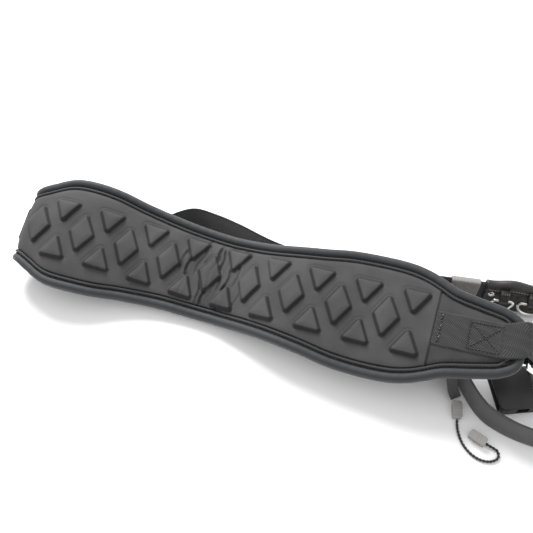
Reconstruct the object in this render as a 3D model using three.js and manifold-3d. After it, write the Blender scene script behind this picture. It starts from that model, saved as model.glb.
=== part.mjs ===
// Padded carpenter's tool belt, lying unfastened and gathered on a flat surface.
// Millimetres, +Z up, +X along the belt towards its hardware, +Y to the back of the belt.
import * as THREE from 'three';
import { mergeVertices } from 'three/addons/utils/BufferGeometryUtils.js';
import Module from 'manifold-3d';

const wasm = await Module();
wasm.setup();

// ---- driving dimensions -------------------------------------------------------------
const GAP = 0.3;                       // running gap between neighbouring solids
const HALF_LENGTH = 345;               // half of the pad, measured along its face
const TILT = THREE.MathUtils.degToRad(17);
const FOLD_START = -240;               // where the left neck folds under
const FOLD_RADIUS = 19;
const FOLD_ANGLE = THREE.MathUtils.degToRad(175);
const PANEL_THICK = 2.7;
const FOAM_THICK = 8.7;
const BACK_THICK = 2;
const BINDING_WIDTH = 10;
const BINDING_HEIGHT = 15.4;
const WEB_WIDTH = 38;
const WEB_THICK = 1.8;
const LAYER = WEB_THICK + 2 * GAP;     // distance between two layers of webbing
const RING_WIRE = 3.4;

// Half width of the pad at distances from its middle, and the run of its face along it.
const WIDTH_AT = [0, 60, 115, 150, 185, 215, 235, 250, 268, 300, 325, 338, 345];
const HALF_WIDTH = [55, 57, 63, 68.5, 70, 68.5, 64, 58, 50, 43, 37, 29, 18];
const RUN_AT = [-270, -180, -90, 0, 90, 180, 270, 360];
const FACE_HEIGHT = [59, 59, 37, 32, 55, 60, 71, 81];
const FACE_SIDEWAYS = [-8, -2, 9, 9, -1, -1, -3, -1];

// ---- materials -----------------------------------------------------------------------
const finish = (color, roughness, metalness = 0) =>
  new THREE.MeshStandardMaterial({ color, roughness, metalness });
const faceFabric = finish(0x4b4748, 0.85);
const foam = finish(0x2b2b2d, 0.95);
const bindingFabric = finish(0x30363b, 0.8);
const webbing = finish(0x2c2b2c, 0.75);
const elastic = finish(0x7b7876, 0.85);
const leather = finish(0x1c1a1a, 0.5);
const steel = finish(0xc9c7c4, 0.18, 1);
const plastic = finish(0x121213, 0.45);
const greyPlastic = finish(0x6d6b69, 0.6);
const cordFabric = finish(0x1d1c1c, 0.85);

const belt = new THREE.Group();

function add(name, geometry, material, parent = belt) {
  const mesh = new THREE.Mesh(geometry, material);
  mesh.name = name;
  parent.add(mesh);
  return mesh;
}

// ---- shape helpers -------------------------------------------------------------------
const vec = (x, y, z) => new THREE.Vector3(x, y, z);

// Cubic interpolation through (xs, ys), with slopes taken from the neighbours.
function smooth(xs, ys, x) {
  const last = xs.length - 1;
  const slope = (i) => {
    const a = Math.max(i - 1, 0);
    const b = Math.min(i + 1, last);
    return (ys[b] - ys[a]) / (xs[b] - xs[a]);
  };
  if (x <= xs[0]) return ys[0] + slope(0) * (x - xs[0]);
  if (x >= xs[last]) return ys[last] + slope(last) * (x - xs[last]);
  const i = xs.findIndex((v) => v > x) - 1;
  const h = xs[i + 1] - xs[i];
  const t = (x - xs[i]) / h;
  return (2 * t ** 3 - 3 * t ** 2 + 1) * ys[i] + (t ** 3 - 2 * t ** 2 + t) * h * slope(i)
    + (3 * t ** 2 - 2 * t ** 3) * ys[i + 1] + (t ** 3 - t ** 2) * h * slope(i + 1);
}

// Makes the triangles face outwards.
function facingOut(positions, index) {
  const p = (i) => vec(...positions.slice(3 * i, 3 * i + 3));
  let volume = 0;
  for (let i = 0; i < index.length; i += 3) {
    volume += p(index[i]).dot(p(index[i + 1]).cross(p(index[i + 2])));
  }
  const ordered = volume > 0 ? index : index.slice().reverse();
  const geometry = new THREE.BufferGeometry();
  geometry.setAttribute('position', new THREE.Float32BufferAttribute(positions, 3));
  geometry.setIndex(ordered);
  geometry.computeVertexNormals();
  return geometry;
}

// A solid through a row of convex rings of points, capped at its ends unless it closes.
function loft(rings, closed = false) {
  const n = rings[0].length;
  const count = rings.length;
  const index = [];
  for (let i = 0; i < (closed ? count : count - 1); i++) {
    const next = (i + 1) % count;
    for (let j = 0; j < n; j++) {
      const k = (j + 1) % n;
      index.push(i * n + j, i * n + k, next * n + k, i * n + j, next * n + k, next * n + j);
    }
  }
  if (!closed) {
    for (let j = 1; j < n - 1; j++) {
      index.push(0, j + 1, j);
      index.push((count - 1) * n, (count - 1) * n + j, (count - 1) * n + j + 1);
    }
  }
  return facingOut(rings.flat().flatMap((p) => [p.x, p.y, p.z]), index);
}

// A strip of webbing along points, each with the direction of its width.
function strip(points, widthAt, width, thick, closed = false) {
  const count = points.length;
  const rings = points.map((p, i) => {
    const before = closed ? points[(i + count - 1) % count] : points[Math.max(i - 1, 0)];
    const after = closed ? points[(i + 1) % count] : points[Math.min(i + 1, count - 1)];
    const along = after.clone().sub(before).normalize();
    const across = widthAt(i, count).clone();
    across.addScaledVector(along, -across.dot(along)).normalize();
    const normal = along.cross(across).normalize();
    const corner = (a, b) => p.clone().addScaledVector(across, a * width / 2)
      .addScaledVector(normal, b * thick / 2);
    return [corner(-1, -1), corner(1, -1), corner(1, 1), corner(-1, 1)];
  });
  return loft(rings, closed);
}

// Evenly spaced points on a smooth curve through the given ones.
function curve(points, steps, closed = false) {
  const line = new THREE.CatmullRomCurve3(points, closed, 'centripetal');
  const spaced = line.getSpacedPoints(steps);
  return closed ? spaced.slice(0, steps) : spaced;
}

// A round bar or cord along points.
function rod(points, diameter, sides, closed = false) {
  const count = points.length;
  const tangent = (i) => {
    const before = closed ? points[(i + count - 1) % count] : points[Math.max(i - 1, 0)];
    const after = closed ? points[(i + 1) % count] : points[Math.min(i + 1, count - 1)];
    return after.clone().sub(before).normalize();
  };
  const normal = vec(0, 0, 1).cross(tangent(0));
  if (normal.length() < 0.1) normal.set(1, 0, 0);
  const rings = points.map((p, i) => {
    const along = tangent(i);
    normal.addScaledVector(along, -normal.dot(along)).normalize();
    const side = along.clone().cross(normal);
    return Array.from({ length: sides }, (_, j) => {
      const a = 2 * Math.PI * j / sides;
      return p.clone().addScaledVector(normal, Math.cos(a) * diameter / 2)
        .addScaledVector(side, Math.sin(a) * diameter / 2);
    });
  });
  return loft(rings, closed);
}

// Solids for cutting and joining.
function toSolid(geometry) {
  const bare = geometry.clone();
  bare.deleteAttribute('normal');
  bare.deleteAttribute('uv');
  const merged = mergeVertices(bare, 1e-4);
  return new wasm.Manifold(new wasm.Mesh({
    numProp: 3,
    vertProperties: new Float32Array(merged.attributes.position.array),
    triVerts: new Uint32Array(merged.index.array),
  }));
}

function fromSolid(solid) {
  const mesh = solid.getMesh();
  const geometry = new THREE.BufferGeometry();
  geometry.setAttribute('position', new THREE.Float32BufferAttribute(mesh.vertProperties, 3));
  geometry.setIndex(Array.from(mesh.triVerts));
  geometry.computeVertexNormals();
  return geometry;
}

function box(sx, sy, sz, x, y, z) {
  return new THREE.BoxGeometry(sx, sy, sz).translate(x, y, z);
}

// A flat plate with rounded corners, its middle at the origin, lying in XY.
function roundedPlate(length, width, thick, corner, holes = []) {
  const outline = (shape, w, h, r, x, y) => {
    shape.moveTo(x - w / 2 + r, y - h / 2);
    shape.lineTo(x + w / 2 - r, y - h / 2);
    shape.quadraticCurveTo(x + w / 2, y - h / 2, x + w / 2, y - h / 2 + r);
    shape.lineTo(x + w / 2, y + h / 2 - r);
    shape.quadraticCurveTo(x + w / 2, y + h / 2, x + w / 2 - r, y + h / 2);
    shape.lineTo(x - w / 2 + r, y + h / 2);
    shape.quadraticCurveTo(x - w / 2, y + h / 2, x - w / 2, y + h / 2 - r);
    shape.lineTo(x - w / 2, y - h / 2 + r);
    shape.quadraticCurveTo(x - w / 2, y - h / 2, x - w / 2 + r, y - h / 2);
    return shape;
  };
  const shape = outline(new THREE.Shape(), length, width, corner, 0, 0);
  for (const [w, h, x, y] of holes) {
    shape.holes.push(outline(new THREE.Path(), w, h, 1.5, x, y));
  }
  return new THREE.ExtrudeGeometry(shape, { depth: thick, bevelEnabled: false, curveSegments: 3 })
    .translate(0, 0, -thick / 2);
}

// ---- the pad's run -------------------------------------------------------------------
const RUN_STEP = 1;
const runTable = [];
{
  let x = 0;
  const direction = (s) => {
    const dz = (smooth(RUN_AT, FACE_HEIGHT, s + 0.5) - smooth(RUN_AT, FACE_HEIGHT, s - 0.5));
    const dy = (smooth(RUN_AT, FACE_SIDEWAYS, s + 0.5) - smooth(RUN_AT, FACE_SIDEWAYS, s - 0.5));
    return vec(Math.sqrt(1 - dy * dy - dz * dz), dy, dz);
  };
  for (let s = FOLD_START; s <= HALF_LENGTH + 60; s += RUN_STEP) {
    runTable.push({ s, x, along: direction(s) });
    x += direction(s + RUN_STEP / 2).x * RUN_STEP;
  }
}
const RUN_MIDDLE = runTable.find((row) => row.s === 0).x;

// The face's middle line, its direction, its sideways and its outward directions at s.
function padFrame(s) {
  const at = Math.max(s, FOLD_START);
  const i = Math.min(Math.floor((at - FOLD_START) / RUN_STEP), runTable.length - 2);
  const f = (at - FOLD_START) / RUN_STEP - i;
  const x = runTable[i].x * (1 - f) + runTable[i + 1].x * f - RUN_MIDDLE;
  const along = runTable[i].along.clone().lerp(runTable[i + 1].along, f).normalize();
  const centre = vec(x, smooth(RUN_AT, FACE_SIDEWAYS, at), smooth(RUN_AT, FACE_HEIGHT, at));
  const side = vec(0, -Math.sin(TILT), Math.cos(TILT)).cross(along).normalize();
  const out = along.clone().cross(side).normalize();
  const past = FOLD_START - s;
  if (past > 0) {
    const turned = Math.min(past / FOLD_RADIUS, FOLD_ANGLE);
    const straight = past - turned * FOLD_RADIUS;
    const left = along.clone().negate();
    const newOut = out.clone().multiplyScalar(Math.cos(turned))
      .addScaledVector(left, Math.sin(turned));
    const newLeft = left.clone().multiplyScalar(Math.cos(turned))
      .addScaledVector(out, -Math.sin(turned));
    centre.addScaledVector(out, -FOLD_RADIUS).addScaledVector(newOut, FOLD_RADIUS)
      .addScaledVector(newLeft, straight);
    return { centre, side, out: newOut };
  }
  return { centre, side, out };
}

function padPoint(s, v, t) {
  const { centre, side, out } = padFrame(s);
  return centre.addScaledVector(side, v).addScaledVector(out, t);
}

const halfWidth = (s) => smooth(WIDTH_AT, HALF_WIDTH, Math.abs(s));

// ---- the pad's layers ----------------------------------------------------------------
const PAD_END = HALF_LENGTH - BINDING_WIDTH - 7;
const PAD_INSET = BINDING_WIDTH + 2; // room between the layers and the rolled binding
function padStations(end) {
  const stations = [];
  for (let s = -end; s < end; s += s < FOLD_START + 12 ? 5 : 11) stations.push(s);
  stations.push(end);
  return stations;
}

function padLayer(top, thick) {
  const rings = padStations(PAD_END).map((s) => {
    const w = halfWidth(s) - PAD_INSET;
    return [[-w, top - thick], [w, top - thick], [w, top], [-w, top]]
      .map(([v, t]) => padPoint(s, v, t));
  });
  return loft(rings);
}

add('front_panel', padLayer(0, PANEL_THICK), faceFabric);
add('foam_core', padLayer(-PANEL_THICK - GAP, FOAM_THICK), foam);
add('back_panel', padLayer(-PANEL_THICK - FOAM_THICK - 2 * GAP, BACK_THICK), foam);

// The rolled binding goes all round the edge, also over the folded end.
function edgeBinding() {
  const inset = BINDING_WIDTH / 2;
  const edge = [];
  for (let s = -325; s <= 325; s += s < FOLD_START + 12 ? 5 : 9.6) edge.push(s);
  const tip = [[338, 24], [341, 9], [341, -9], [338, -24]];
  const outline = [
    ...edge.map((s) => [s, halfWidth(s) - inset]),
    ...tip,
    ...edge.slice().reverse().map((s) => [s, inset - halfWidth(s)]),
    ...tip.map(([s, v]) => [-s, -v]),
  ];
  const middle = -BINDING_HEIGHT / 2 + 0.9;
  const section = [[0.3, -0.5], [0.5, -0.28], [0.5, 0.28], [0.3, 0.5],
    [-0.3, 0.5], [-0.5, 0.36], [-0.5, -0.36], [-0.3, -0.5]];
  const rings = outline.map(([s, v], i) => {
    const [s0, v0] = outline[(i + outline.length - 1) % outline.length];
    const [s1, v1] = outline[(i + 1) % outline.length];
    const length = Math.hypot(s1 - s0, v1 - v0);
    const [outS, outV] = [-(v1 - v0) / length, (s1 - s0) / length];
    return section.map(([a, b]) => padPoint(s + a * BINDING_WIDTH * outS,
      v + a * BINDING_WIDTH * outV, middle + b * BINDING_HEIGHT));
  });
  return loft(rings, true);
}
add('edge_binding', edgeBinding(), bindingFabric);

// ---- end tabs and their steel loops --------------------------------------------------
// Side views of the tabs: along the face, over the tip, round the loop's bar, back underneath.
// The right one hangs over the tip; the left one is tucked under, level with the neck.
const TABS = {
  right: {
    sign: 1,
    bar: { s: 353, t: -20 },
    lean: THREE.MathUtils.degToRad(55),
    sideView: [[252, 1.25], [290, 1.25], [316, 1.4], [325, 2.4], [343, 2.6], [347.5, 1.8],
      [351.5, -1.5], [355, -8], [358.6, -15], [359.6, -22.5], [355.5, -27], [349.6, -26.4], [346, -21],
      [341, -18.5], [330, -18.3], [315, -17.8], [296, -17.6]],
  },
  left: {
    sign: -1,
    bar: { s: 362, t: -7.8 },
    lean: THREE.MathUtils.degToRad(-6),
    sideView: [[256, 1.25], [290, 1.25], [316, 1.4], [325, 2.4], [343, 2.6], [347.5, 1.8],
      [351.5, -0.8], [356, -2.4], [362, -3.6], [366.4, -5], [367.2, -7.8], [366.4, -10.6], [362, -12],
      [356, -13], [350, -15.4], [343, -17.5], [330, -17], [315, -17], [296, -17]],
  },
};
// The webbing lies a little to the front on the neck and to the back at the bar.
const tabShift = (s) => 0.4 + 6.6 * THREE.MathUtils.smoothstep(s, 322, 352);

function endTab({ sign, sideView }) {
  const shape = new THREE.CatmullRomCurve3(sideView.map(([s, t]) => vec(s, t, 0)),
    false, 'centripetal').getSpacedPoints(72);
  const points = shape.map((p) => padPoint(sign * p.x, tabShift(p.x), p.y));
  const across = shape.map((p) => padFrame(sign * p.x).side);
  return strip(points, (i) => across[i], WEB_WIDTH, WEB_THICK);
}
add('tab_right', endTab(TABS.right), webbing);
add('tab_left', endTab(TABS.left), webbing);

// A stamped steel loop, lying in its own XY plane: the tab's bar is at x = 0.
const LOOP_REACH = 27;                 // from one bar to the other
const LOOP_WIDTH = 56;
const LOOP_BAR = 6;
const LOOP_THICK = 2.6;
function steelLoop() {
  const length = LOOP_REACH + LOOP_BAR;
  const hole = [length - 2 * LOOP_BAR, LOOP_WIDTH - 2 * LOOP_BAR, 0, 0];
  return roundedPlate(length, LOOP_WIDTH, LOOP_THICK, 5, [hole]).translate(LOOP_REACH / 2, 0, 0);
}

// Places a loop at a tab: it leans down by an angle from the tab's own run.
function loopFrame({ sign, bar, lean }) {
  const { side, out } = padFrame(sign * bar.s);
  const along = side.clone().cross(out).multiplyScalar(sign);
  const reach = along.clone().multiplyScalar(Math.cos(lean))
    .addScaledVector(out, -Math.sin(lean));
  const upright = reach.clone().cross(side).normalize();
  const centre = padPoint(sign * bar.s, tabShift(bar.s), bar.t);
  return new THREE.Matrix4().makeBasis(reach, side, upright).setPosition(centre);
}
const rightLoop = loopFrame(TABS.right);
const leftLoop = loopFrame(TABS.left);
add('loop_right', steelLoop().applyMatrix4(rightLoop), steel);
add('loop_left', steelLoop().applyMatrix4(leftLoop), steel);

// Webbing round a loop's far bar, from its sewn end back out along the loop's own plane.
function anchorPoints(loop) {
  const side = [[24, 1.2], [17, 1.4], [8, 3.4], [0, 4], [-4.6, 2.6], [-5.8, 0], [-4.6, -2.6],
    [0, -4], [8, -3.2], [17, -1.5]];
  return side.map(([x, z]) => vec(LOOP_REACH + x, 0, z).applyMatrix4(loop));
}

// ---- the straight run of the waist strap, standing on edge behind the pad ------------
// Local frame: X along the strap, Y to the back, Z up, origin at the keeper's near end.
const run = new THREE.Group();
run.position.set(257, 90, 0);
run.rotation.z = THREE.MathUtils.degToRad(9);
run.updateMatrixWorld(true);
belt.add(run);
const onRun = (u, w, z) => vec(u, w, z).applyMatrix4(run.matrixWorld);

const RUN_Z = 1.9 + WEB_WIDTH / 2;     // middle height of the strap on this run
const FREE_Z = 0.2 + WEB_WIDTH / 2;    // middle height where the strap stands on the surface
const BUCKLE_AT = 172;                 // the male half's bar along the run
const BUCKLE_Z = 25;
const STANDING = vec(0, 0, 1);

// The strap leaves the left loop flat, twists on to its edge, runs behind the pad,
// turns round the buckle's bar and comes back as the tail, under the neck and out in front.
function waistStrap() {
  const half = LAYER / 2;
  const anchor = anchorPoints(leftLoop);
  const behind = [vec(-124, 27, 14.5), vec(-116, 42, 18.9), vec(-107, 57, FREE_Z),
    vec(-98, 71, FREE_Z), vec(-87, 84, FREE_Z),
    vec(-70, 95, FREE_Z),
    vec(-38, 94, FREE_Z), vec(-7, 88.5, FREE_Z), vec(43, 76.5, FREE_Z), vec(100, 71.5, FREE_Z),
    vec(160, 75.5, FREE_Z + 0.6), onRun(-50, half, RUN_Z - 0.3), onRun(-34, half, RUN_Z)];
  const climb = [[60, half, 0], [118, half, 0], [130, half, 1.6], [146, half, 1.8],
    [BUCKLE_AT - 10, half + 1.2, 3], [BUCKLE_AT, 3.9, 3.2]];
  const doubled = [
    ...climb.map(([u, w, up]) => onRun(u, w, RUN_Z + up)),
    onRun(BUCKLE_AT + 5, 0, RUN_Z + 3.2),
    ...climb.slice().reverse().map(([u, w, up]) => onRun(u, -w, RUN_Z + up)),
    onRun(-34, -half, RUN_Z),
  ];
  const tail = [vec(205, 73, RUN_Z), vec(192, 58, FREE_Z), vec(196, 42, FREE_Z),
    vec(224, 26, FREE_Z), vec(262, 4, FREE_Z), vec(287, -18, FREE_Z), vec(302, -37, FREE_Z),
    vec(313, -49.5, FREE_Z), vec(325, -58.5, FREE_Z), vec(343, -65, FREE_Z),
    vec(362, -68.5, FREE_Z), vec(390, -69, FREE_Z), vec(425, -62, FREE_Z)];
  const points = curve([...anchor, ...behind, ...doubled, ...tail], 420);
  const flat = padFrame(-HALF_LENGTH).side;
  const across = (i) => {
    const upright = THREE.MathUtils.smoothstep(points[i].y, 20, 54);
    const pastLobe = THREE.MathUtils.smoothstep(points[i].x, -96, -90);
    const turned = Math.max(upright, pastLobe);
    return flat.clone().lerp(STANDING, turned);
  };
  return strip(points, across, WEB_WIDTH, WEB_THICK);
}
add('waist_strap', waistStrap(), webbing);


// ---- what the strap carries on its straight run --------------------------------------
// A closed band of elastic that holds both layers of the strap together.
const KEEPER_LENGTH = 33;
function keeperBand() {
  const halfDepth = 3.6;
  const low = 0.9;
  const high = RUN_Z + WEB_WIDTH / 2 + 1.3;
  const outline = [vec(0, -halfDepth, low + 1.5), vec(0, -halfDepth, high - 1.5),
    vec(0, -halfDepth + 1.5, high), vec(0, halfDepth - 1.5, high),
    vec(0, halfDepth, high - 1.5), vec(0, halfDepth, low + 1.5),
    vec(0, halfDepth - 1.5, low), vec(0, -halfDepth + 1.5, low)]
    .map((p) => p.setX(KEEPER_LENGTH / 2));
  return strip(outline, () => vec(1, 0, 0), KEEPER_LENGTH, 1.4, true);
}
add('elastic_keeper', keeperBand(), elastic, run);

// A leather hanger folded over the strap, riveted under it.
const HANGER_AT = 40;
const HANGER_LENGTH = 82;
const HANGER_THICK = 3;
function leatherHanger() {
  const outline = curve([vec(0, -6.2, 2), vec(0, -5.9, 10), vec(0, -5.5, 22), vec(0, -5.4, 36),
    vec(0, -4, 42.5), vec(0, 0, 45), vec(0, 4, 42.5), vec(0, 5.4, 36), vec(0, 5.6, 22),
    vec(0, 6.4, 10), vec(0, 7.4, 2)], 44);
  outline.forEach((p) => p.setX(HANGER_AT + HANGER_LENGTH / 2));
  return strip(outline, () => vec(1, 0, 0), HANGER_LENGTH, HANGER_THICK);
}
add('leather_hanger', leatherHanger(), leather, run);

// Domed rivet caps, standing on the hanger's front flap.
function rivetCap(u, z) {
  const profile = [new THREE.Vector2(0, 0), new THREE.Vector2(4.2, 0),
    new THREE.Vector2(4.2, 0.6), new THREE.Vector2(3.1, 1.5), new THREE.Vector2(1.6, 2),
    new THREE.Vector2(0, 2.1)];
  const cap = new THREE.LatheGeometry(profile, 16);
  cap.rotateX(Math.PI);
  return cap.translate(u, -7.4 - GAP, z);
}
const RIVET_U = [HANGER_AT + 8, HANGER_AT + HANGER_LENGTH - 8];
RIVET_U.forEach((u, i) => add(`hanger_rivet_${i + 1}`, rivetCap(u, 30), steel, run));

// Small leather chapes on the front flap, each holding a wire ring that swings.
const CHAPE_LOW = 27;
function chape(u, width) {
  const outline = curve([vec(u, -8.3, 40), vec(u, -8.3, 33), vec(u, -9.4, CHAPE_LOW + 2.6),
    vec(u, -11.2, CHAPE_LOW - 2.5), vec(u, -13.6, CHAPE_LOW - 3), vec(u, -15.6, CHAPE_LOW),
    vec(u, -14.2, CHAPE_LOW + 3.6), vec(u, -11.2, 34.4), vec(u, -10.4, 40)], 30);
  return strip(outline, () => vec(1, 0, 0), width, 1.6);
}
const PIVOT_W = -12.8;
const RINGS = [
  { name: 'hammer_ring', u: HANGER_AT + 22, width: 24, drop: 17, chape: 10.5 },
  { name: 'tool_ring', u: HANGER_AT + 56, width: 32, drop: 20, chape: 14 },
];

// A D-shaped ring of round wire: a straight bar above and a half round below.
function wireRing({ u, width, drop }) {
  const half = width / 2;
  const corner = 3;
  const bar = half - corner;
  const outline = [-bar, -bar + 2, -bar / 2, 0, bar / 2, bar - 2, bar].map((x) => vec(u + x, 0, 0));
  for (let a = 0; a <= 180; a += 15) {
    const r = THREE.MathUtils.degToRad(a);
    const bulge = vec(u + half * Math.cos(r), 0, -corner - (drop - corner) * Math.sin(r));
    outline.push(bulge);
  }
  const points = curve(outline, 44, true);
  return rod(points, RING_WIRE, 8, true).translate(0, PIVOT_W, CHAPE_LOW);
}
for (const ring of RINGS) {
  add(`${ring.name}_chape`, chape(ring.u, ring.chape), leather, run);
  add(ring.name, wireRing(ring), steel, run);
}

// A plastic slide that both layers of the strap pass through.
const SLIDER_AT = 138;
function strapSlider() {
  const plate = toSolid(box(13, 9.4, 45.4, SLIDER_AT, 0, 22.9));
  const slot = toSolid(box(20, 5.4, 41.2, SLIDER_AT, 0, 22.9));
  return fromSolid(plate.subtract(slot));
}
add('strap_slider', strapSlider(), plastic, run);

// ---- side-release buckle --------------------------------------------------------------
const BUCKLE_WIDTH = 50;
const BUCKLE_THICK = 13;
// Male half on the strap's end, standing on its edge: X is the way its prongs point.
function buckleBase() {
  const frame = toSolid(box(30, 10, BUCKLE_WIDTH - 2, 11, 0, 0));
  const slot = toSolid(box(10, 20, WEB_WIDTH + 3, 6.9, 0, 0));
  const behindBar = toSolid(box(5, 20, WEB_WIDTH + 3, -4.6, 0, 0));
  const nearBar = [-4.4, 4.4].map((w) => toSolid(box(16, 4.8, WEB_WIDTH + 3, 1.9, w, 0)));
  const guide = toSolid(box(26, 5.4, 9, 38, 0, 0));
  return fromSolid(frame.subtract(slot).subtract(behindBar).subtract(nearBar[0])
    .subtract(nearBar[1]).add(guide));
}
function buckleProng(side) {
  const outline = new THREE.Shape();
  outline.moveTo(0, 0);
  outline.lineTo(22, 1.5);
  outline.quadraticCurveTo(27, 5, 31, 4.4);
  outline.quadraticCurveTo(36, 0, 37, -4.5);
  outline.lineTo(33, -6);
  outline.lineTo(20, -4);
  outline.lineTo(0, -5);
  const arm = new THREE.ExtrudeGeometry(outline, {
    depth: 6, bevelEnabled: false, curveSegments: 5,
  });
  arm.translate(0, 0, -3).rotateX(Math.PI / 2);
  if (side < 0) arm.rotateX(Math.PI);
  return arm.translate(26.4, 0, side * 19.5);
}
const male = new THREE.Group();
male.position.set(BUCKLE_AT, 0, BUCKLE_Z);
run.add(male);
add('buckle_male', buckleBase(), plastic, male);
add('prong_upper', buckleProng(1), plastic, male);
add('prong_lower', buckleProng(-1), plastic, male);

// Female half, lying flat under the right-hand neck with its mouth to the left.
const female = new THREE.Group();
const FEMALE_LENGTH = 58;
female.position.set(355.5, -10.7, BUCKLE_THICK / 2 + 0.2);
female.rotation.z = THREE.MathUtils.degToRad(24);
female.updateMatrixWorld(true);
belt.add(female);
function buckleSocket() {
  const half = FEMALE_LENGTH / 2;
  const shell = toSolid(roundedPlate(FEMALE_LENGTH, BUCKLE_WIDTH, BUCKLE_THICK, 7));
  const pocket = toSolid(box(38, 42, BUCKLE_THICK - 5, -half + 18, 0, 0));
  const windows = toSolid(box(13, BUCKLE_WIDTH + 10, BUCKLE_THICK - 5, -half + 26, 0, 0));
  const slot = toSolid(box(6, WEB_WIDTH + 3, 30, half - 12, 0, 0));
  const beyondBar = toSolid(box(6, WEB_WIDTH + 3, 30, half - 1.5, 0, 0));
  const nearBar = [-4.7, 4.7].map((z) => toSolid(box(20, WEB_WIDTH + 3, 5, half - 6, 0, z)));
  return fromSolid(shell.subtract(pocket).subtract(windows).subtract(slot)
    .subtract(beyondBar).subtract(nearBar[0]).subtract(nearBar[1]));
}
add('buckle_female', buckleSocket(), plastic, female);

// The short strap from the right loop's far bar, bending down and back to the female half.
function buckleStrap() {
  const bar = FEMALE_LENGTH / 2 - 6.75;
  const at = (x, y, z) => vec(x, y, z).applyMatrix4(female.matrixWorld);
  const anchor = anchorPoints(rightLoop);
  const points = curve([...anchor, vec(389, 13, 18.6), vec(400, 14, 17.4), vec(409, 15, 14.6),
    vec(412.5, 15.4, 10), at(bar + 32, 0, -0.5), at(bar + 20, 0, -1.4), at(bar + 9, 0, -3),
    at(bar + 1, 0, -3.7), at(bar - 3.6, 0, -2.8), at(bar - 5, 0, 0), at(bar - 3.6, 0, 2.8),
    at(bar + 1, 0, 3.7), at(bar + 9, 0, 1.4), at(bar + 20, 0, 1.2)], 130);
  const flat = padFrame(TABS.right.bar.s).side;
  const buckleSide = vec(0, 1, 0).applyAxisAngle(vec(0, 0, 1), female.rotation.z);
  const across = (i) => {
    const level = THREE.MathUtils.smoothstep(points[i].x, 376, 404);
    const isPastBend = i > points.length / 2;
    return isPastBend ? buckleSide : flat.clone().lerp(buckleSide, level);
  };
  return strip(points, across, WEB_WIDTH, WEB_THICK);
}
add('buckle_strap', buckleStrap(), webbing);


// ---- short cord with a moulded end at each side, hanging from a webbing stub ---------
function cordStub() {
  const points = curve([vec(277, -32, 44), vec(280, -35, 33), vec(284, -38.5, 20),
    vec(288.5, -41.5, 11), vec(291, -43.2, 7.6)], 16);
  return strip(points, () => vec(0.94, 0.33, 0), 12, 1.6);
}
add('cord_stub', cordStub(), webbing);

const CORD_DIAMETER = 3.2;
const CORD_ROUTE = [[297.2, -66.2, 3.4], [298.6, -73, 2.4], [302, -82, 2.1], [308, -91.5, 2.1],
  [317, -99, 2.1], [328, -102.6, 2.1], [338.5, -101, 2.1], [345.2, -94.6, 2.1],
  [343.6, -87.6, 2.3], [336.6, -85.4, 3.2], [330.6, -84.2, 4.4]];
const cordPoints = curve(CORD_ROUTE.map(([x, y, z]) => vec(x, y, z)), 24);
add('short_cord', rod(cordPoints, CORD_DIAMETER, 8), cordFabric);

// A moulded end: X runs along it, and the cord meets its far face.
function cordEnd(length, from, to) {
  const body = roundedPlate(length, 9.6, 7.6, 2);
  const ridges = [-1, 0, 1].map((i) => toSolid(box(1, 10.6, 8.2, i * 3 - 2.5, 0, 0)));
  const solid = ridges.reduce((sum, ridge) => sum.add(ridge), toSolid(body));
  const way = to.clone().sub(from).normalize();
  const turn = new THREE.Quaternion().setFromUnitVectors(vec(1, 0, 0), way);
  const middle = from.clone().addScaledVector(way, length / 2);
  return fromSolid(solid).applyQuaternion(turn).translate(middle.x, middle.y, middle.z);
}
const END_LENGTH = 19;
add('cord_end_a', cordEnd(END_LENGTH, vec(293, -46.6, 5.6), vec(297.2, -66, 4.8)), greyPlastic);
add('cord_end_b', cordEnd(END_LENGTH, vec(330.2, -84.1, 5.1), vec(310, -77, 5.6)), greyPlastic);


// The origin is under the middle of the belt's box, on the surface it lies on.
belt.position.set(-115.83, -29.72, -0.09);

export default belt;
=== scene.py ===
# %% [markdown]
# A padded carpenter's tool belt lies unfastened on a pale table. The rigid layout is already
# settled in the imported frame, so this lesson only dresses it: moulded foam, rolled binding,
# webbing, leather, steel and plastic, each made the way its maker would think of it.
# %% Load the frame
import math

import bpy
import bmesh
import numpy as np
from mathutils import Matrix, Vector


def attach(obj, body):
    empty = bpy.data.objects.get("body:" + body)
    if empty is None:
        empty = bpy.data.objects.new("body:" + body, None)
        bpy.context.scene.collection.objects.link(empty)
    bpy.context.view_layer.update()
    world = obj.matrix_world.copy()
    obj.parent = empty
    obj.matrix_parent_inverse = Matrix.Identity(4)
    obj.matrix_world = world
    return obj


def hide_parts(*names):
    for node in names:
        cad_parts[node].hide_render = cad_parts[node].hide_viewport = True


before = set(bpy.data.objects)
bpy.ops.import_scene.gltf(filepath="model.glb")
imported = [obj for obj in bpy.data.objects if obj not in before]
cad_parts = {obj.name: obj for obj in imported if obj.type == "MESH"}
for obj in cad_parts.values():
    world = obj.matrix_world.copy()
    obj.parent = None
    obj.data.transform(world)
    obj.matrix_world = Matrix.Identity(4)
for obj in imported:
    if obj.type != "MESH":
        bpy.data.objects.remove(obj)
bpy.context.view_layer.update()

MM = 0.001
BELT_SHIFT = np.array([-115.83, -29.72, -0.09])   # the belt's own origin in the row frame, mm


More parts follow.
